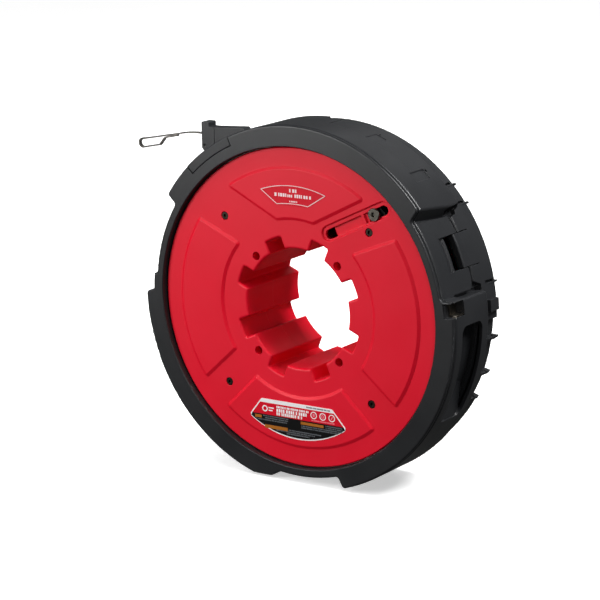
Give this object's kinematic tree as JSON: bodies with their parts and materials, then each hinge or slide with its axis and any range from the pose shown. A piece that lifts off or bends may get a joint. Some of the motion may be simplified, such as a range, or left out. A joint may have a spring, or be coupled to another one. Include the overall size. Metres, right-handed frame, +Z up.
{
  "type": "fish tape reel",
  "caption": "Steel fish tape cartridge: a splined reel turns inside a ring housing with a hand grip, feet and a nozzle for the looped tape.",
  "frame": {"origin": "on the axis of the splined hub bore, halfway along the 72 mm hub", "axes": "+Y along the reel's axis, from its front face to its rear face; +Z up, away from the two feet; the tape leaves towards -X at the top left"},
  "size_m": [0.33, 0.0785, 0.2914],
  "materials": {
    "reel_red": "satin moulded",
    "housing_charcoal": "satin moulded",
    "bezel_charcoal": "satin moulded",
    "spring_steel": "bright spring steel",
    "black_screw": "black oxide",
    "plated_screw": "zinc plated",
    "label": "printed film",
    "label_dark": "printed film",
    "glide": "natural acetal",
    "wear_steel": "hardened steel"
  },
  "bodies": {
    "housing": {"front_bezel": "bezel_charcoal", "front_shell": "housing_charcoal", "rear_shell": "housing_charcoal", "front_glide_ring": "glide", "rear_glide_ring": "glide", "housing_screws": "black_screw", "nozzle_guide": "housing_charcoal", "nozzle_tip": "housing_charcoal", "nozzle_wear_insert": "wear_steel", "nozzle_pin": "wear_steel", "nozzle_screws": "black_screw", "latch_strike": "plated_screw"},
    "reel": {"reel_front_half": "reel_red", "reel_rear_half": "reel_red", "winding_drum": "reel_red", "tape_anchor_block": "wear_steel", "tape_anchor_screw": "plated_screw", "flange_screws": "black_screw", "hub_screws": "black_screw", "tape_coil": "spring_steel", "upper_label": "label", "lower_label": "label_dark"},
    "tape": {"tape_leader": "spring_steel"}
  },
  "joints": [
    {"name": "reel_spin", "type": "hinge", "parent": "housing", "child": "reel", "pos_m": [0, 0, 0], "axis": [0, 1, 0], "continuous": true},
    {"name": "tape_feed", "type": "slide", "parent": "housing", "child": "tape", "axis": [-1, 0, 0], "range_m": [-0.02, 0.06]}
  ]
}
